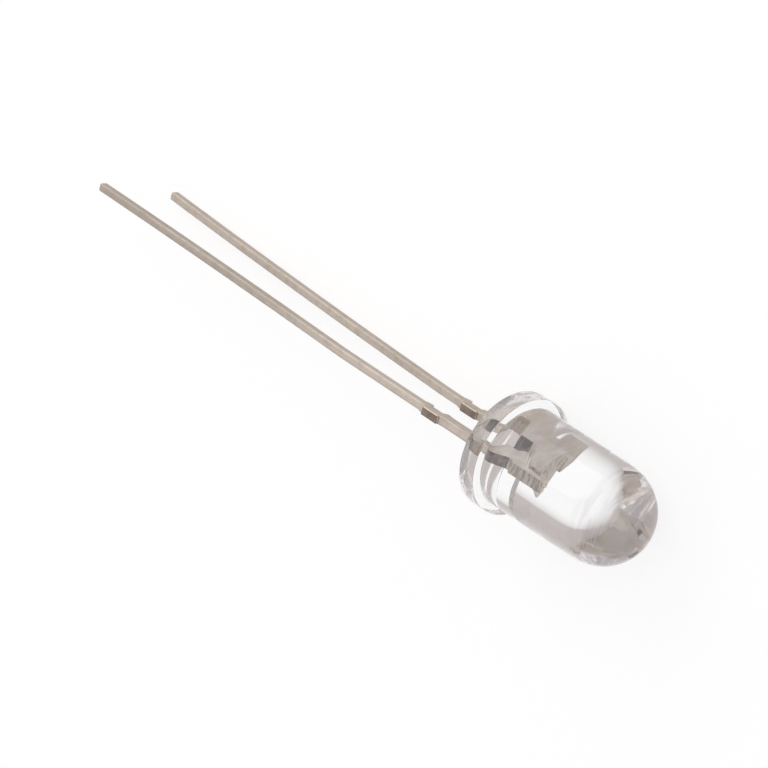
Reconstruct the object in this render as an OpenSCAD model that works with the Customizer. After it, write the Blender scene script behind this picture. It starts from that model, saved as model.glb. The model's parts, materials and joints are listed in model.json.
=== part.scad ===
// Clear round LED with two wire leads, lying on the flat of its flange and the tip of its short lead.
// Millimetres. The lens axis runs along X with the dome at +X, and the long lead lies above the short one.
// The floor is Z = 0, and the origin is under the middle of the part.

/* [Lens] */
// Diameter of the clear body next to the flange
body_d = 5; // [4.8:0.1:5.2]
// Length of the straight stretch of the body that a panel hole takes
land_l = 1.6; // [1:0.1:3]
// Draft of the body between the straight stretch and the dome, in degrees
draft = 0.6; // [0:0.1:1.5]
// Height of the lens from its seating face to the top of the dome
lens_h = 8.95; // [7.6:0.05:12]
// Diameter of the flange
flange_d = 5.9; // [5.6:0.1:6.6]
// Thickness of the flange
flange_t = 1.2; // [0.6:0.1:1.5]
// Height of the flange's flat above the side of the body
flat_step = 0.03; // [0.02:0.01:0.1]
// Radius on the two edges of the flange's rim
rim_r = 0.2; // [0.04:0.02:0.22]
// Radius in the corner between the flange and the body
root_r = 0.1; // [0.04:0.02:0.14]

/* [Leads] */
// Distance between the centres of the two leads
pitch = 2.54; // [2.3:0.02:2.6]
// Width of a lead beyond its dam bar
lead_w = 0.42; // [0.3:0.02:0.5]
// Width of a lead between the lens and its dam bar
root_w = 0.5; // [0.4:0.02:0.6]
// Thickness of the sheet that both leads are stamped from
sheet_t = 0.42; // [0.3:0.02:0.5]
// Radius on the long edges of a lead
edge_r = 0.07; // [0.04:0.01:0.12]
// Length of the long lead (anode) below the seating face
anode_l = 29.8; // [20:0.2:34]
// Length of the short lead (cathode) below the seating face
cathode_l = 27.2; // [18:0.2:32]
// Distance of the sheet from the lens axis, sideways
sheet_y = 0.08; // [0:0.02:0.16]

/* [Dam bar stubs] */
// Distance from the seating face to the middle of the cut dam bar
dam_x = 3.62; // [2.6:0.02:5]
// Width of the dam bar
dam_w = 1.04; // [0.7:0.02:1.2]
// Height that the cut bar still stands proud of a lead
stub_h = 0.2; // [0.1:0.02:0.3]
// Depth of the nick that the cutter left on the other side
nick = 0.12; // [0.04:0.02:0.16]
// Radius of the two corners at the bottom of the nick
nick_r = 0.1; // [0.04:0.01:0.12]
// Height of the shoulders beside the dam bar
shoulder = 0.06; // [0.02:0.01:0.1]
// Length of the slopes that lead up to the shoulders
slope_l = 0.35; // [0.2:0.05:0.6]

/* [Set of the leads] */
// Distance past the dam bar's slope at which the short lead starts to turn
cathode_turn = 0.1; // [0.1:0.1:2]
// Sideways angle through which the short lead turns there
cathode_set = 1.6; // [0:0.1:3]
// Radius of the long sideways bow of the short lead
cathode_bow = 800; // [300:10:1500]
// Distance past the dam bar's slope at which the long lead starts to turn
anode_turn = 5; // [2:0.5:8]
// Sideways angle through which the long lead turns there
anode_set = 1.5; // [0:0.1:3]
// Radius of the bow that turns the long lead back
anode_bow = 1000; // [600:50:3000]

/* [Anvil and post] */
// Height above the seating face at which the leads have flared out to their shanks
flare_x = 0.9; // [0.8:0.05:1.1]
// Height of the reflector cup's rim above the seating face
rim_x = 3.55; // [3.45:0.05:3.7]
// Height of the anvil's ear above the cup's rim
ear_h = 0.2; // [0.1:0.02:0.4]
// Distance from the cup's rim down to the step under the ear
ear_l = 1.13; // [1:0.05:1.3]
// Height of the post's bonding face above the cup's rim
post_h = 0.6; // [0.4:0.05:0.8]
// Distance from the bonding face down to the step where the post widens
post_l = 2.17; // [2:0.05:2.3]
// Length of the narrow neck below each step
neck_l = 0.3; // [0.2:0.02:0.4]
// Distance from the lens axis to the outer side of the anvil and the post
head_z = 1.28; // [1.22:0.02:1.4]
// Distance from the lens axis to the outer side of the necks
neck_z = 1.05; // [0.96:0.01:1.1]
// Distance from the lens axis to the inner side of the anvil's shank
shank_z = 0.46; // [0.4:0.02:0.5]
// Distance from the lens axis to the inner side of the post's shank
post_shank_z = 0.3; // [0.24:0.02:0.4]
// Distance from the lens axis to the nose on that shank, which reaches in below the anvil
nose_z = 0.08; // [0.04:0.02:0.2]
// Length of the nose
nose_l = 0.28; // [0.2:0.02:0.4]
// Gap between the anvil and the post
post_gap = 0.18; // [0.14:0.02:0.24]
// Radius of the wide corners where the leads flare out
flare_r = 0.4; // [0.2:0.05:0.5]
// Radius of the corners of the necks and shanks
neck_r = 0.14; // [0.08:0.01:0.16]
// Radius of the sharp corners at the steps and the ends
stamp_r = 0.05; // [0.02:0.01:0.06]

/* [Reflector cup] */
// Outer diameter of the cup at its rim
cup_d = 1.46; // [1.36:0.02:1.5]
// Outer diameter of the cup at its foot
foot_d = 0.96; // [0.88:0.02:1.06]
// Height of the cup from foot to rim
cup_h = 0.62; // [0.58:0.02:0.7]
// Distance from the cup's rim down to the underside of the anvil
anvil_h = 1.55; // [1.45:0.05:1.65]
// Distance from the cup's rim down to where the slope of that underside meets the anvil's side
slope_h = 0.8; // [0.75:0.05:0.85]
// Diameter of the reflector's mouth
mouth_d = 1.16; // [1.1:0.02:1.24]
// Diameter of the reflector's floor
floor_d = 0.62; // [0.58:0.02:0.66]
// Depth of the reflector
bowl_h = 0.5; // [0.4:0.02:0.54]

/* [Die and wire] */
// Side of the square light-emitting die
die_w = 0.3; // [0.2:0.02:0.34]
// Height of the die
die_h = 0.2; // [0.12:0.02:0.26]
// Thickness of the adhesive under the die
bond_t = 0.02; // [0.01:0.005:0.03]
// Height of the adhesive's collar round the die
collar_h = 0.07; // [0.04:0.01:0.1]
// Diameter of the gold bond wire
wire_d = 0.025; // [0.02:0.005:0.05]
// Height above the die at which the wire bends over towards the post
kink_h = 0.2; // [0.1:0.02:0.3]
// Height of the wire above the inner edge of the post
loop_h = 0.08; // [0.06:0.02:0.16]
// Radius of the wire's two bends
loop_r = 0.12; // [0.06:0.02:0.14]

/* [Hidden] */
$fn = 48;

body_r = body_d / 2;
flange_r = flange_d / 2;
ring = flange_r - body_r;
rim_edge = min(rim_r, ring / 2, flange_t / 2 - 0.02);
corner = min(root_r, ring - rim_edge);
land_x = flange_t + corner + land_l;
dome_r = (body_r * cos(draft) - (lens_h - land_x) * sin(draft)) / (1 - sin(draft));
dome_x = lens_h - dome_r;
dome_foot = dome_x + dome_r * sin(draft);
flat_z = body_r + flat_step;

lead_z = pitch / 2;
tab_x = dam_x + dam_w / 2;
run_x = tab_x + slope_l;
// Radius of the turns in the leads, and length over which a lead's blunt tip narrows
set_r = 60;
tip_l = 0.1;
// How far a cutting form reaches past what it cuts
past = 1;

floor_x = rim_x - bowl_h;
foot_x = rim_x - cup_h;
die_x = floor_x + bond_t;
die_top = die_x + die_h;
ear_x = rim_x + ear_h;
post_x = rim_x + post_h;
post_in = cup_d / 2 + post_gap;
wall = (cup_d - mouth_d) / 2;
side_z = cup_d / 2 - wall * 0.4;
side_in = cup_d / 2 - wall * 0.7;
slope_x = rim_x - anvil_h;
slope_rise = [anvil_h - slope_h, side_in + shank_z];
foot_h = 0.07;
ball_r = wire_d * 1.5;
stitch_l = wire_d * 4;
land_z = (post_in + head_z) / 2;

// The short lead's tip rests on the floor with the flange's flat
tilt = atan((flat_z - lead_z - lead_w / 2) / cathode_l);
front_x = dome_x * cos(tilt) - flat_z * sin(tilt) + dome_r;
back_x = -anode_l * cos(tilt) - (flat_z + lead_z + lead_w / 2) * sin(tilt);

// Turns a part drawn about the lens axis into the pose in which it lies
module rest() {
    translate([-(front_x + back_x) / 2, 0, 0])
        rotate([0, -tilt, 0]) translate([0, 0, flat_z]) children();
}

// Lets a profile drawn with its axis on Y turn about the X axis
module turned() {
    rotate([0, 90, 0]) rotate([0, 0, 90]) rotate_extrude($fn = 96) children();
}

// An outline of [x, z, radius] corners, with each corner that has a radius rounded by an arc
function unit(v) = v / norm(v);
function round_corner(a, b, c, r) =
    let (u = unit(a - b), w = unit(c - b), half = acos(u * w) / 2, mid = unit(u + w),
         centre = b + mid * r / sin(half), from = b + u * r / tan(half) - centre,
         side = sign(u[0] * w[1] - u[1] * w[0]), sweep = side * (180 - 2 * half))
    [for (i = [0:4]) let (t = -sweep * i / 4)
        centre + [from[0] * cos(t) - from[1] * sin(t), from[0] * sin(t) + from[1] * cos(t)]];
function xz(p) = [p[0], p[1]];
function outline(p) = [for (i = [0:len(p) - 1])
    let (a = xz(p[(i + len(p) - 1) % len(p)]), b = xz(p[i]), c = xz(p[(i + 1) % len(p)]))
    each p[i][2] == 0 ? [b] : round_corner(a, b, c, p[i][2])];

module stamped(corners) {
    translate([0, sheet_y, 0]) rotate([90, 0, 0])
        linear_extrude(sheet_t, center = true) polygon(outline(corners));
}

// Upper edge of a lead centred on z, from its run to the lens, with the stub of the dam bar
function upper_edge(z) = [
    [-run_x, z + lead_w / 2, 0],
    [-tab_x, z + lead_w / 2 + shoulder, 0],
    [-tab_x, z + lead_w / 2 + stub_h, 0],
    [-tab_x + dam_w, z + lead_w / 2 + stub_h, 0],
    [-tab_x + dam_w, z + root_w / 2 + shoulder, 0],
    [-tab_x + dam_w + slope_l, z + root_w / 2, 0]];

// Lower edge of the same lead, back from the lens to its run, with the cutter's nick
function lower_edge(z) = [
    [-tab_x + dam_w + slope_l, z - root_w / 2, 0],
    [-tab_x + dam_w, z - root_w / 2 - shoulder, stamp_r],
    [-tab_x + dam_w - nick * 1.5, z - lead_w / 2 + nick, nick_r],
    [-tab_x + nick * 1.5, z - lead_w / 2 + nick, nick_r],
    [-tab_x + nick / 2, z - lead_w / 2 - shoulder, stamp_r],
    [-run_x, z - lead_w / 2, 0]];

// Points along an arc that turns through an angle from a heading, to the left where both are positive
function arc(from, heading, radius, angle, steps) =
    [for (i = [1:steps]) let (t = heading + angle * i / steps)
        from + radius * [sin(t) - sin(heading), cos(heading) - cos(t)]];

// Sweeps a section of [sideways, up] points along a course of [x, y, share of the section] points
module swept(course, section) {
    sides = len(section);
    last = len(course) - 1;
    points = [for (i = [0:last])
        let (way = xz(course[min(i + 1, last)] - course[max(i - 1, 0)]), u = way / norm(way))
        for (c = section * course[i][2])
            [course[i][0] - u[1] * c[0], course[i][1] + u[0] * c[0], c[1]]];
    walls = [for (i = [0:last - 1], k = [0:sides - 1]) let (n = (k + 1) % sides)
        each [[i * sides + n, i * sides + k, (i + 1) * sides + n],
              [(i + 1) * sides + n, i * sides + k, (i + 1) * sides + k]]];
    ends = [[for (k = [0:sides - 1]) k], [for (k = [sides - 1:-1:0]) last * sides + k]];
    polyhedron(points, concat(walls, ends));
}

// Cross section of a lead: flat sides and rounded edges
function lead_section() =
    let (a = sheet_t / 2, b = lead_w / 2)
    outline([[-a, -b, edge_r], [a, -b, edge_r], [a, b, edge_r], [-a, b, edge_r]]);

function arc_length(radius, angle) = 2 * PI * radius * angle / 360;
function arc_angle(radius, length) = 360 * length / (2 * PI * radius);

// Course of a lead's run, away from the lens: straight, a turn sideways, a long bow and a blunt tip
function run_course(turn, set, bow, length) =
    let (start = run_x + turn,
         turned = arc([start, 0], 0, set_r, set, 4),
         bow_angle = arc_angle(bow, length - tip_l - start - arc_length(set_r, set)),
         bowed = arc(turned[3], set, bow, bow_angle, 12),
         way = [cos(set + bow_angle), sin(set + bow_angle)])
    concat([for (p = concat([[run_x - tip_l, 0], [start, 0]], turned, bowed)) [p[0], p[1], 1]],
        [for (t = [30, 60, 90]) let (p = bowed[11] + way * tip_l * sin(t))
            [p[0], p[1], 1 - (1 - cos(t)) * tip_l / lead_w]]);

// A lead's run from its dam bar to its tip
module run(z, course) {
    translate([0, sheet_y, z]) mirror([1, 0, 0]) swept(course, lead_section());
}

// Reflector cup, pressed up out of the anvil about the lens axis
module on_cup_axis(x) {
    translate([x, sheet_y, 0]) rotate([0, 90, 0]) children();
}

module cup() {
    on_cup_axis(foot_x) cylinder(h = cup_h, d1 = foot_d, d2 = cup_d);
    on_cup_axis(foot_x - foot_h) cylinder(h = foot_h, d1 = foot_d - 4 * foot_h, d2 = foot_d);
}

module bowl() {
    on_cup_axis(floor_x) cylinder(h = bowl_h + 0.001, d1 = floor_d, d2 = mouth_d);
}

// Anvil of the short lead, below the lens axis
module cathode_sheet() {
    z = -lead_z;
    stamped(concat(
        upper_edge(z),
        [[flare_x - slope_l, z + root_w / 2, neck_r],
         [flare_x, -shank_z, neck_r],
         [slope_x, -shank_z, neck_r],
         [slope_x + slope_rise[0], slope_rise[1] - shank_z, neck_r],
         [rim_x - stamp_r, side_z, 0],
         [rim_x - stamp_r, -side_z, 0],
         [ear_x, -side_z, stamp_r],
         [ear_x, -head_z, stamp_r],
         [rim_x - ear_l, -head_z, stamp_r],
         [rim_x - ear_l, -neck_z, stamp_r],
         [rim_x - ear_l - neck_l, -neck_z, neck_r],
         [flare_x, z - root_w / 2, flare_r]],
        lower_edge(z)));
}

// Height at which the post's inner side, in line with the anvil's sloping underside, is at z
function post_slope(z) =
    slope_x + ((z + shank_z) * slope_rise[0] - post_gap * norm(slope_rise)) / slope_rise[1];

// Post of the long lead, above the lens axis
module anode_sheet() {
    z = lead_z;
    nose_x = post_slope(nose_z) - nose_l;
    stamped(concat(
        upper_edge(z),
        [[flare_x, z + root_w / 2, flare_r],
         [post_x - post_l - neck_l, neck_z, neck_r],
         [post_x - post_l, neck_z, stamp_r],
         [post_x - post_l, head_z, stamp_r],
         [post_x, head_z, stamp_r],
         [post_x, post_in, stamp_r],
         [post_slope(post_in), post_in, neck_r],
         [post_slope(nose_z), nose_z, neck_r],
         [nose_x, nose_z, neck_r],
         [nose_x - nose_l, post_shank_z, neck_r],
         [flare_x, post_shank_z, neck_r],
         [flare_x - slope_l, z - root_w / 2, neck_r]],
        lower_edge(z)));
}

// Head of the short lead, with the reflector cup pressed into it
module cathode_head() {
    difference() {
        union() {
            cathode_sheet();
            cup();
        }
        bowl();
    }
}

// The die, square to the sheet on the floor of the bowl
module die_block() {
    translate([die_x + die_h / 2, sheet_y, 0]) cube([die_h, die_w, die_w], center = true);
}

// Adhesive: a thin bed under the die and a collar that climbs its sides
module adhesive() {
    difference() {
        on_cup_axis(floor_x) cylinder(h = collar_h, d1 = floor_d - 0.04, d2 = die_w * 1.3);
        die_block();
    }
}

// Course of the bond wire: up from the die, across to the post's inner edge and down onto the post
function wire_course() =
    let (foot = [die_top, 0], kink = [die_top + kink_h, 0], over = [post_x + loop_h, post_in],
         end = [post_x + wire_d / 2, land_z])
    [for (p = concat([foot], round_corner(foot, kink, over, loop_r), round_corner(kink, over, end, loop_r), [end]))
        [p[0], p[1], 1]];

// Bond wire: a ball on the die, the wire's loop and a flat stitch on the post
module wire() {
    translate([die_top, sheet_y, 0]) rotate([0, 90, 0]) cylinder(h = wire_d, r = ball_r);
    translate([0, sheet_y, 0]) rotate([90, 0, 0])
        swept(wire_course(), [for (a = [0:45:315]) wire_d / 2 * [cos(a), sin(a)]]);
    translate([post_x + wire_d / 2, sheet_y, land_z]) cube([wire_d, wire_d * 2, stitch_l], center = true);
}

// Outer form of the lens: flange, straight stretch, drafted stretch and dome
module lens_profile() {
    translate([0, rim_edge]) square([flange_r, flange_t - 2 * rim_edge]);
    square([flange_r - rim_edge, flange_t]);
    for (y = [rim_edge, flange_t - rim_edge]) translate([flange_r - rim_edge, y]) circle(rim_edge);
    square([body_r, land_x]);
    difference() {
        square([body_r + corner, flange_t + corner]);
        translate([body_r + corner, flange_t + corner]) circle(corner);
    }
    polygon([[0, 0], [body_r, land_x], [dome_r * cos(draft), dome_foot], [0, dome_foot]]);
    intersection() {
        translate([0, dome_x]) circle(dome_r, $fn = 128);
        translate([0, dome_x]) square(dome_r * 2);
    }
}

module lens_form() {
    difference() {
        turned() lens_profile();
        translate([-past, -flange_d, -flat_z - flange_d])
            cube([flange_t + corner + past, flange_d * 2, flange_d]);
    }
}

module lens() {
    color([0.93, 0.94, 0.96, 0.45]) rest() difference() {
        lens_form();
        cathode_head();
        anode_sheet();
        bowl_filling();
        wire();
    }
}

module bowl_filling() {
    die_block();
    adhesive();
}

module cathode_lead() {
    color([0.73, 0.68, 0.63]) rest() {
        cathode_head();
        run(-lead_z, run_course(cathode_turn, cathode_set, cathode_bow, cathode_l));
    }
}

module anode_lead() {
    color([0.73, 0.68, 0.63]) rest() {
        anode_sheet();
        run(lead_z, run_course(anode_turn, anode_set, -anode_bow, anode_l));
    }
}

module die_attach() {
    color([0.8, 0.8, 0.78]) rest() adhesive();
}

module die() {
    color([0.35, 0.33, 0.3]) rest() die_block();
}

module bond_wire() {
    color([0.93, 0.76, 0.38]) rest() wire();
}

lens();
cathode_lead();
anode_lead();
die_attach();
die();
bond_wire();
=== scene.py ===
# Clear round LED in a plain white studio, lying on its flange's flat and on the tip of its cathode lead.
# Metres, in the part's own frame: +X towards the dome, +Z up from the floor.
import bpy, bmesh, json, math
from mathutils import Matrix, Vector


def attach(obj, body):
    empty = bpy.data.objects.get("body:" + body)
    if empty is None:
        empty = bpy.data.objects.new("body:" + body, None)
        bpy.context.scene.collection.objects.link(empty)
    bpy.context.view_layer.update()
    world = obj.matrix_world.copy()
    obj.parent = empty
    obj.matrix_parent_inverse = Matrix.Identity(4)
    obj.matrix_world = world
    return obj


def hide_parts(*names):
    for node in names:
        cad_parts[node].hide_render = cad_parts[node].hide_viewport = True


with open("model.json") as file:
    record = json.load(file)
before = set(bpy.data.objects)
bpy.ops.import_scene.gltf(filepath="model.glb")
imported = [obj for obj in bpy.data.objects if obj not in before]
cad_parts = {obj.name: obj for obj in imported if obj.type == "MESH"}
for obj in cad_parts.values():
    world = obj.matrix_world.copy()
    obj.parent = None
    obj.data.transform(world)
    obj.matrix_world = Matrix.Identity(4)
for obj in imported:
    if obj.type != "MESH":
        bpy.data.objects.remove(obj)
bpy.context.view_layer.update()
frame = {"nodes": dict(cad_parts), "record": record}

MM = 0.001
WHITE = (1, 1, 1, 1)

# The lens axis, from the mounts of the record. UP is square to it, from the cathode lead to the anode lead.
MOUNTS = {m["name"]: m for m in frame["record"]["mounts"]}
SEAT = Vector(MOUNTS["seating_face"]["pos_m"])
AXIS = -Vector(MOUNTS["seating_face"]["axis"]).normalized()
UP = Vector((-AXIS.z, 0, AXIS.x))
ACROSS = Vector((0, 1, 0))

# The leads, as distances along the lens axis from the seating face: where tin gives way to silver, where
# the painted shade on the necks ends, and the two ends of the cut dam bar
SILVER = (0.3 * MM, 1.0 * MM)
NECK_X = 1.74 * MM
STUB = (-4.16 * MM, -3.06 * MM)

# The place across the leads of the bright line on the dam bar's cut, the width of a sharp change of colour,
# and the radius to which the leads' edges are rounded in the shading
BRIGHT_EDGE_Y = 0.235 * MM
SHARP = 0.02 * MM
EDGE_WEAR = 0.12 * MM

# The lens, from its seating face to the top of its dome
BODY_R = MOUNTS["panel_body"]["dims"]["r_mm"] * MM
LENS_H = 8.95 * MM
LAND_L = 1.6 * MM
DRAFT = math.radians(0.6)
FLANGE_R = 2.95 * MM
FLANGE_T = 1.02 * MM
FLAT_Z = BODY_R + 0.03 * MM
BACK_R = 0.14 * MM
FRONT_R = 0.05 * MM
ROOT_R = 0.04 * MM
DISH = 0.2 * MM

# The length over which the dome's curvature grows in, as a share of its tip radius
BLEND = 0.5

# Where the dome's haze grows in, and where its painted grey shade in rings and its ripples grow in, as
# distances from the seating face
HAZE_X = (5.3 * MM, 7.3 * MM)
DOME_SHADE_X = (6.4 * MM, 7.6 * MM)

# Facets: of the whole turn, of the dome's curve, of the dished back and of the flange's three edges
TURN_STEPS = 192
DOME_STEPS = 96
BACK_STEPS = 22
RIM_STEPS = 12
FRONT_STEPS = 16
ROOT_STEPS = 10

# Points of the lens that are closer than this are one
WELD = 0.0002 * MM

# How often light may be thrown back inside the resin before a painted grey glow takes its place
LONG_PATH = 3.5


# ---------------------------------------------------------------- shader helpers

class Graph:
    """A node tree whose nodes are added by short calls."""

    def __init__(self, tree):
        self.tree = tree

    def node(self, kind, **settings):
        made = self.tree.nodes.new(kind)
        for key, value in settings.items():
            setattr(made, key, value)
        return made

    def link(self, source, target):
        self.tree.links.new(source, target)

    def feed(self, value, socket):
        """Wires an output to a socket, or sets the socket to a constant."""
        if isinstance(value, bpy.types.NodeSocket):
            self.link(value, socket)
        else:
            socket.default_value = value

    def dot(self, output, direction):
        made = self.node("ShaderNodeVectorMath", operation="DOT_PRODUCT")
        self.link(output, made.inputs[0])
        made.inputs[1].default_value = direction
        return made.outputs["Value"]

    def coordinate(self, name):
        return self.node("ShaderNodeTexCoord").outputs[name]

    def along(self, direction, start):
        """Distance of a point along a direction from a start."""
        return self.maths("SUBTRACT", self.dot(self.coordinate("Object"), direction), direction.dot(start))

    def facing(self, direction):
        """1 on faces that look along a direction, and 0 on the others."""
        return self.between(self.dot(self.coordinate("Normal"), direction), 0.75, 0.9)

    def toward(self, direction):
        """How far the ray points towards a direction, as the cosine of the angle between them."""
        return self.dot(self.coordinate("Generated"), Vector(direction).normalized())

    def maths(self, operation, *values):
        made = self.node("ShaderNodeMath", operation=operation)
        for socket, value in zip(made.inputs, values):
            self.feed(value, socket)
        return made.outputs[0]

    def noise(self, scale, stretch=(1, 1, 1), detail=3):
        mapping = self.node("ShaderNodeMapping")
        mapping.inputs["Scale"].default_value = stretch
        self.link(self.coordinate("Object"), mapping.inputs["Vector"])
        made = self.node("ShaderNodeTexNoise")
        made.inputs["Scale"].default_value = scale
        made.inputs["Detail"].default_value = detail
        self.link(mapping.outputs[0], made.inputs["Vector"])
        return made.outputs["Fac"]

    def between(self, value, low, high, out_low=0.0, out_high=1.0):
        """A smooth step from one output at the low value to the other at the high value."""
        made = self.node("ShaderNodeMapRange", interpolation_type="SMOOTHSTEP")
        for socket, number in zip(made.inputs, (value, low, high, out_low, out_high)):
            self.feed(number, socket)
        return made.outputs[0]

    def mix(self, share, first, second):
        made = self.node("ShaderNodeMix", data_type="RGBA")
        self.feed(share, made.inputs[0])
        self.feed(first, made.inputs[6])
        self.feed(second, made.inputs[7])
        return made.outputs[2]

    def blend(self, share, first, second):
        """A mix of two shaders."""
        made = self.node("ShaderNodeMixShader")
        self.link(share, made.inputs[0])
        self.link(first, made.inputs[1])
        self.link(second, made.inputs[2])
        return made.outputs[0]


class Shader(Graph):
    """A material that starts with a Principled BSDF wired to its output."""

    def __init__(self, name, **sockets):
        self.material = bpy.data.materials.new(name)
        self.material.use_nodes = True
        super().__init__(self.material.node_tree)
        self.bsdf = self.tree.nodes["Principled BSDF"]
        self.output = self.tree.nodes["Material Output"]
        for key, value in sockets.items():
            self.bsdf.inputs[key.replace("_", " ")].default_value = value

    def bump(self, height, strength, distance, rounding=0):
        """Surface relief, and edges that are rounded in the shading alone where a radius is given."""
        made = self.node("ShaderNodeBump")
        made.inputs["Strength"].default_value = strength
        made.inputs["Distance"].default_value = distance
        self.link(height, made.inputs["Height"])
        if rounding:
            edge = self.node("ShaderNodeBevel", samples=4)
            edge.inputs["Radius"].default_value = rounding
            self.link(edge.outputs[0], made.inputs["Normal"])
        self.link(made.outputs[0], self.bsdf.inputs["Normal"])


# ---------------------------------------------------------------- resin

def epoxy():
    """Water-clear resin with a trace of haze, with painted shade in faint grey rings and with ripples over
    the dome, and with a painted grey glow where light stays in it for long.
    """
    s = Shader("clear_epoxy", Base_Color=WHITE, Transmission_Weight=0.985, IOR=1.53)
    haze = s.between(s.along(AXIS, SEAT), *HAZE_X, 0.0, 0.05)
    blur = s.between(s.noise(900), 0.3, 0.8, 0.0, 0.015)
    s.link(s.maths("ADD", haze, blur), s.bsdf.inputs["Roughness"])
    # Painted shade: towards its top the dome is tinted grey in rings. The same share lets the ripples in.
    dome = s.between(s.along(AXIS, SEAT), *DOME_SHADE_X)
    s.link(s.mix(dome, WHITE, painted_dome_shade(s)), s.bsdf.inputs["Base Color"])
    s.bump(waves(s, dome), 0.12, 0.05 * MM)
    # Painted glow: paths that bounce long inside the resin end in a grey glow instead of real light.
    bounces = s.node("ShaderNodeLightPath").outputs["Glossy Depth"]
    trapped = s.maths("GREATER_THAN", bounces, LONG_PATH)
    s.link(s.blend(trapped, s.bsdf.outputs[0], painted_glow(s)), s.output.inputs["Surface"])
    return s.material


def painted_dome_shade(s):
    """Painted shade: faint rings of grey tint that darken the dome."""
    rings = s.between(s.noise(3000, stretch=(1, 0.12, 0.12), detail=4), 0.42, 0.58)
    return s.mix(rings, (0.77, 0.765, 0.795, 1), (0.97, 0.96, 0.95, 1))


def waves(s, dome):
    """Slow waves all over, and ripples round the dome."""
    ripples = s.noise(1600, stretch=(1, 0.15, 0.15), detail=3)
    ripples = s.maths("MULTIPLY", ripples, s.maths("MULTIPLY", dome, 5))
    return s.maths("ADD", s.noise(700, detail=1), ripples)


def painted_glow(s):
    """Painted glow: a pale grey with painted glints, which the resin gives off where light stays in it for
    long. It would be black otherwise.
    """
    painted_glints = s.between(s.noise(1500, stretch=(1, 0.3, 0.3), detail=5), 0.42, 0.60)
    glow = s.node("ShaderNodeEmission")
    s.link(s.mix(painted_glints, (0.50, 0.46, 0.475, 1), (0.92, 0.88, 0.87, 1)), glow.inputs["Color"])
    return glow.outputs[0]


# ---------------------------------------------------------------- metals

def plated_steel():
    """Tin on the leads, silver on their heads in the lens, painted shade on the necks' side faces, and bare
    steel where the dam bar was cut.
    """
    s = Shader("plated_steel", Metallic=1.0)
    streaks = s.noise(900, stretch=(0.05, 1, 1), detail=5)
    mottle = s.noise(2600, detail=4)
    along = s.along(AXIS, SEAT)
    sides = s.maths("MAXIMUM", s.facing(UP), s.facing(-UP))
    head = s.mix(sides, silver_plate(s, mottle), sheared_sides_and_shade(s, along))
    plating_and_shade = s.mix(s.between(along, *SILVER), tin_plate(s, streaks, mottle), head)
    stub_start = s.between(along, STUB[0], STUB[0] + SHARP)
    stub_end = s.between(along, STUB[1], STUB[1] - SHARP)
    cut = s.maths("MULTIPLY", s.maths("MULTIPLY", stub_start, stub_end), s.facing(UP))
    s.link(s.mix(cut, plating_and_shade, bare_steel(s, mottle)), s.bsdf.inputs["Base Color"])
    s.link(s.between(mottle, 0.2, 0.8, 0.32, 0.5), s.bsdf.inputs["Roughness"])
    s.bump(streaks, 0.25, 0.02 * MM, EDGE_WEAR)
    return s.material


def tin_plate(s, streaks, mottle):
    """Drawn streaks along the leads, with darker spots."""
    tin = s.mix(s.between(streaks, 0.3, 0.75), (0.60, 0.54, 0.465, 1), (0.89, 0.815, 0.72, 1))
    return s.mix(s.between(mottle, 0.45, 0.8, 0, 0.35), tin, (0.50, 0.45, 0.385, 1))


def silver_plate(s, mottle):
    return s.mix(s.between(mottle, 0.3, 0.75), (0.80, 0.76, 0.71, 1), (0.96, 0.92, 0.87, 1))


def sheared_sides_and_shade(s, along):
    """The upper and lower faces of the head, which the punch left striped. On the necks they are painted
    dark and spotted instead, as shade in the gap between the leads.
    """
    stripes = s.between(s.noise(9000, stretch=(1, 0.3, 1), detail=4), 0.42, 0.6)
    striped = s.mix(stripes, (0.68, 0.62, 0.55, 1), (0.98, 0.93, 0.86, 1))
    spots = s.between(s.noise(5000, detail=5), 0.4, 0.65)
    # Painted shade: the necks' side faces are dark, as in the shaded gap between the leads.
    painted_shade = s.mix(spots, (0.27, 0.255, 0.25, 1), (0.46, 0.435, 0.425, 1))
    return s.mix(s.between(along, NECK_X, NECK_X - SHARP), striped, painted_shade)


def bare_steel(s, mottle):
    """Dark steel with a bright line along one edge."""
    bare = s.mix(s.between(mottle, 0.3, 0.7), (0.26, 0.21, 0.175, 1), (0.42, 0.35, 0.295, 1))
    bright_edge = s.between(s.along(ACROSS, Vector()), BRIGHT_EDGE_Y, BRIGHT_EDGE_Y + SHARP)
    return s.mix(bright_edge, bare, (0.95, 0.88, 0.8, 1))


def adhesive():
    """Cured paste filled with silver."""
    s = Shader("die_adhesive", Metallic=0.6, Roughness=0.5)
    grain = s.mix(s.noise(9000), (0.55, 0.54, 0.5, 1), (0.78, 0.77, 0.72, 1))
    s.link(grain, s.bsdf.inputs["Base Color"])
    return s.material


def semiconductor():
    s = Shader("semiconductor", Roughness=0.25)
    crystal = s.mix(s.noise(6000), (0.2, 0.18, 0.16, 1), (0.42, 0.38, 0.3, 1))
    s.link(crystal, s.bsdf.inputs["Base Color"])
    return s.material


def gold():
    s = Shader("gold", Metallic=1.0)
    drawn = s.mix(s.noise(8000), (0.9, 0.66, 0.28, 1), (0.98, 0.8, 0.42, 1))
    s.link(drawn, s.bsdf.inputs["Base Color"])
    s.link(s.between(s.noise(4000), 0.3, 0.8, 0.15, 0.3), s.bsdf.inputs["Roughness"])
    return s.material


# ---------------------------------------------------------------- lens

def arc(centre, radius, start, end, steps):
    """Points [along, out] on an arc about a centre, between two angles in degrees from the lens axis."""
    angles = [math.radians(start + (end - start) * i / steps) for i in range(steps + 1)]
    return [(centre[0] + radius * math.cos(a), centre[1] + radius * math.sin(a)) for a in angles]


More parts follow.
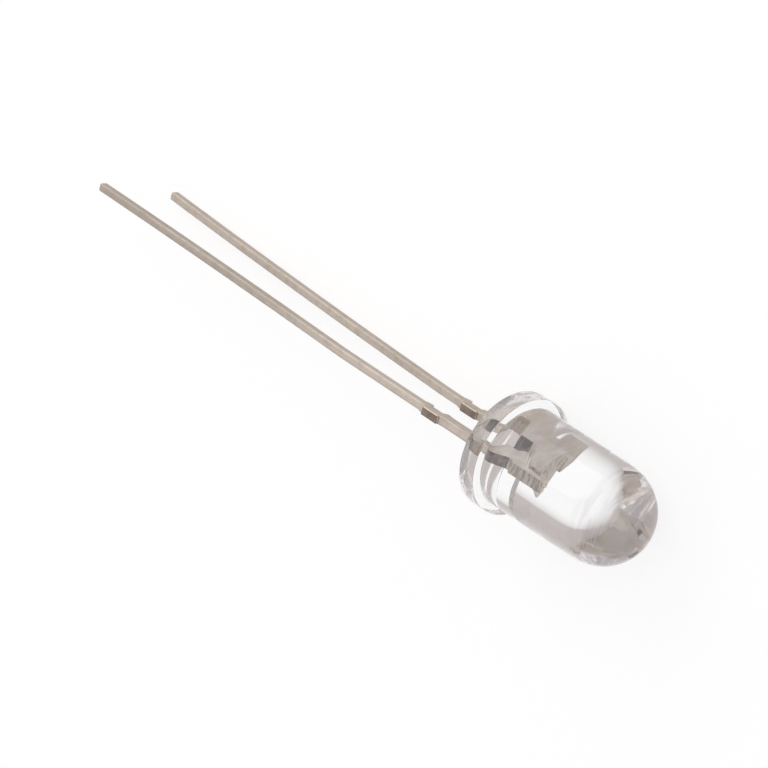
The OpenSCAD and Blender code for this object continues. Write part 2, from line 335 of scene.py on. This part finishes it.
def dome_curve(blend, steps):
    """Points [along, in] of a dome with a tip radius of 1, which leaves the body without a kink in its
    curvature. The curvature grows from none over the blend length."""
    points = [(0.0, 0.0)]
    heading, length = DRAFT, 0.0
    step = (math.pi / 2 - DRAFT + blend / 2) / steps
    for _ in range(steps):
        bend = min(1.0, (length + step / 2) / blend)
        middle = heading + bend * step / 2
        x, drop = points[-1]
        points.append((x + math.cos(middle) * step, drop + math.sin(middle) * step))
        heading += bend * step
        length += step
    return points


def dished_back():
    """Points [along, out] from the middle of the back, where it is deepest, to its rim."""
    edge = FLANGE_R - BACK_R
    steps = range(BACK_STEPS)
    return [(DISH * (1 - (i / BACK_STEPS) ** 4), edge * i / BACK_STEPS) for i in steps]


def lens_outline():
    """Half outline of the lens as [along the axis, out from it], from the middle of its back to its top."""
    land = FLANGE_T + ROOT_R + LAND_L
    curve = dome_curve(BLEND, DOME_STEPS)
    reach, drop = curve[-1]
    taper = math.tan(DRAFT)
    tip_r = (BODY_R - (LENS_H - land) * taper) / (drop - reach * taper)
    dome_x = LENS_H - reach * tip_r
    dome_out = BODY_R - (dome_x - land) * taper
    rim = arc((BACK_R, FLANGE_R - BACK_R), BACK_R, 180, 90, RIM_STEPS)
    front = arc((FLANGE_T - FRONT_R, FLANGE_R - FRONT_R), FRONT_R, 90, 0, FRONT_STEPS)
    root = arc((FLANGE_T + ROOT_R, BODY_R + ROOT_R), ROOT_R, 180, 270, ROOT_STEPS)
    dome = [(dome_x + x * tip_r, dome_out - drop * tip_r) for x, drop in curve]
    return dished_back() + rim + front + root + [(land, BODY_R)] + dome[:-1] + [(LENS_H, 0)]


def revolve(mesh, points):
    """Turns an outline [along, out] about the X axis."""
    outline = [mesh.verts.new((x, 0, out)) for x, out in points]
    edges = [mesh.edges.new(pair) for pair in zip(outline, outline[1:])]
    bmesh.ops.spin(mesh, geom=outline + edges, axis=(1, 0, 0), cent=(0, 0, 0),
                   angle=2 * math.pi, steps=TURN_STEPS)
    bmesh.ops.remove_doubles(mesh, verts=mesh.verts, dist=WELD)


def cut_flat(mesh):
    """Cuts the flat off the flange's underside. It alone isn't smooth shaded, and its edge is sharp."""
    everything = mesh.verts[:] + mesh.edges[:] + mesh.faces[:]
    cut = bmesh.ops.bisect_plane(mesh, geom=everything, dist=1e-9, plane_co=(0, 0, -FLAT_Z),
                                 plane_no=(0, 0, -1), clear_outer=True)
    edges = [e for e in cut["geom_cut"] if isinstance(e, bmesh.types.BMEdge)]
    flat = bmesh.ops.contextual_create(mesh, geom=edges)["faces"]
    bmesh.ops.recalc_face_normals(mesh, faces=mesh.faces)
    for face in mesh.faces:
        face.smooth = face not in flat
    for edge in edges:
        edge.smooth = False


def build_lens():
    mesh = bmesh.new()
    revolve(mesh, lens_outline())
    cut_flat(mesh)
    data = bpy.data.meshes.new("clear_lens")
    mesh.to_mesh(data)
    mesh.free()
    piece = bpy.data.objects.new("clear_lens", data)
    bpy.context.collection.objects.link(piece)
    turn = Vector((1, 0, 0)).rotation_difference(AXIS).to_matrix().to_4x4()
    data.transform(Matrix.Translation(SEAT) @ turn)
    data.materials.append(epoxy())
    return piece


# ---------------------------------------------------------------- studio

# The floor: its size, its colour, and the glow that makes it white for the camera
FLOOR_SIZE = 0.4
FLOOR_GREY = (0.3, 0.3, 0.3, 1)
FLOOR_GLOW = 0.78


def white_floor():
    """A floor that keeps the LED's shadow. Rays from the lens and the leads pass through it, so that these
    show the studio behind it."""
    s = Shader("white_floor", Base_Color=FLOOR_GREY, Roughness=0.9)
    path = s.node("ShaderNodeLightPath")
    s.bsdf.inputs["Emission Color"].default_value = WHITE
    glow = s.maths("MULTIPLY", path.outputs["Is Camera Ray"], FLOOR_GLOW)
    s.link(glow, s.bsdf.inputs["Emission Strength"])
    mirrored = s.maths("MAXIMUM", path.outputs["Is Transmission Ray"], path.outputs["Is Glossy Ray"])
    clear = s.node("ShaderNodeBsdfTransparent").outputs[0]
    s.link(s.blend(mirrored, s.bsdf.outputs[0], clear), s.output.inputs["Surface"])
    return s.material


def build_floor():
    bpy.ops.mesh.primitive_plane_add(size=FLOOR_SIZE)
    floor = bpy.context.object
    floor.name = "floor"
    floor.data.materials.append(white_floor())


# The studio round the LED is a world by direction. Each edge in it is a pair of cosines, of the angles at
# which the card or the table ends and is full.
WALLS = (0.54, 0.495, 0.485, 1)

# The cards: the direction, the edge and the colour of each
CARDS = [
    ((0, 0, 1), (0.2, 0.6), (0.42, 0.39, 0.395, 1)),
    ((0.7, 1, -0.3), (0.75, 0.9), (0.8, 0.78, 0.76, 1)),
    ((1, 0, 0), (0.8, 0.95), (0.8, 0.78, 0.76, 1)),
    ((0, 0, -1), (0.84, 0.9), WHITE)]

# A card under the LED that is there for the leads, and that rays through the lens don't see
LEAD_CARD = (0.64, 0.6, 0.58, 1)
LEAD_CARD_EDGE = (0.3, 0.6)

# The white table: its direction, the edge it has on its +Y side and the softer one on its -Y side, and, as
# cosines from +Y, where the softer edge gives way to the other and where the table is cut off
TABLE = (-0.62, -0.40, -0.675)
FIRM_EDGE = (0.82, 0.94)
SOFT_EDGE = (0.66, 0.97)
SOFT_TO_FIRM = (-0.5, -0.2)
CUT_OFF = (0.11, 0.06)


def table_share(g):
    """How white the table is in a direction. It runs out softly towards -Y, and ends sharply towards +Y."""
    middle = g.toward(TABLE)
    side = g.toward(ACROSS)
    firm = g.between(middle, *FIRM_EDGE)
    soft = g.between(middle, *SOFT_EDGE)
    firmness = g.between(side, *SOFT_TO_FIRM)
    share = g.maths("ADD", g.maths("MULTIPLY", firmness, g.maths("SUBTRACT", firm, soft)), soft)
    return g.maths("MULTIPLY", share, g.between(side, *CUT_OFF))


def build_world():
    """The studio, which the camera itself sees as plain white."""
    world = bpy.data.worlds.new("studio")
    bpy.context.scene.world = world
    world.use_nodes = True
    g = Graph(world.node_tree)
    path = g.node("ShaderNodeLightPath")
    colour = WALLS
    for direction, edge, tint in CARDS:
        colour = g.mix(g.between(g.toward(direction), *edge), colour, tint)
    below = g.between(g.toward((0, 0, -1)), *LEAD_CARD_EDGE)
    outside = g.maths("LESS_THAN", path.outputs["Transmission Depth"], 0.5)
    colour = g.mix(g.maths("MULTIPLY", below, outside), colour, LEAD_CARD)
    colour = g.mix(table_share(g), colour, WHITE)
    colour = g.mix(path.outputs["Is Camera Ray"], colour, WHITE)
    g.link(colour, g.tree.nodes["Background"].inputs["Color"])


# Soft lamps: the place and the size in metres, and the power in watts, of each, and the point they shine at
LAMPS = {
    "key": ((-0.3, 0.36, 0.25), 0.6, 0.9),
    "fill": ((0.35, 0.3, 0.5), 0.8, 1.2),
    "back": ((-0.36, -0.21, 0.43), 0.5, 0.25)}
LAMP_AIM = Vector((0, 0, 0.002))


def build_lamp(name, place, size, power):
    """A square lamp. Rays through the lens don't see it, so the dome shows no hard bright square."""
    light = bpy.data.lights.new(name, "AREA")
    light.size = size
    light.energy = power
    made = bpy.data.objects.new(name, light)
    bpy.context.collection.objects.link(made)
    made.location = place
    made.visible_transmission = False
    made.rotation_euler = (LAMP_AIM - Vector(place)).to_track_quat("-Z", "Y").to_euler()


# The camera: lens and sensor width in mm, the point it looks at, its direction and roll in degrees, and its
# distance. The roll turns the LED in the picture as the view asks.
LENS, SENSOR = 157.63, 36
AIM = Vector((2.50, -0.47, 2.75)) * MM
AZIMUTH, ELEVATION, ROLL = 30.13, 45.49, 96.82
DISTANCE = 159.1 * MM


def build_camera():
    """Looks down on the LED from above its dome."""
    data = bpy.data.cameras.new("camera")
    data.lens = LENS
    data.sensor_width = SENSOR
    camera = bpy.data.objects.new("camera", data)
    bpy.context.collection.objects.link(camera)
    a, e = math.radians(AZIMUTH), math.radians(ELEVATION)
    out = Vector((math.cos(a) * math.cos(e), math.sin(a) * math.cos(e), math.sin(e)))
    roll = Matrix.Rotation(math.radians(-ROLL), 3, "Z")
    turn = (-out).to_track_quat("-Z", "Y").to_matrix() @ roll
    camera.matrix_world = Matrix.Translation(AIM + out * DISTANCE) @ turn.to_4x4()
    bpy.context.scene.camera = camera


# ---------------------------------------------------------------- assembly

lens = build_lens()
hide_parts("lens")
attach(lens, "root")

FINISHES = {
    "cathode_lead": plated_steel,
    "anode_lead": plated_steel,
    "die_attach": adhesive,
    "die": semiconductor,
    "bond_wire": gold}
for name, finish in FINISHES.items():
    node = frame["nodes"][name]
    node.data.materials.clear()
    node.data.materials.append(finish())

build_floor()
build_world()
for name, (place, size, power) in LAMPS.items():
    build_lamp(name, place, size, power)
build_camera()
bpy.context.scene.view_settings.view_transform = "Standard"
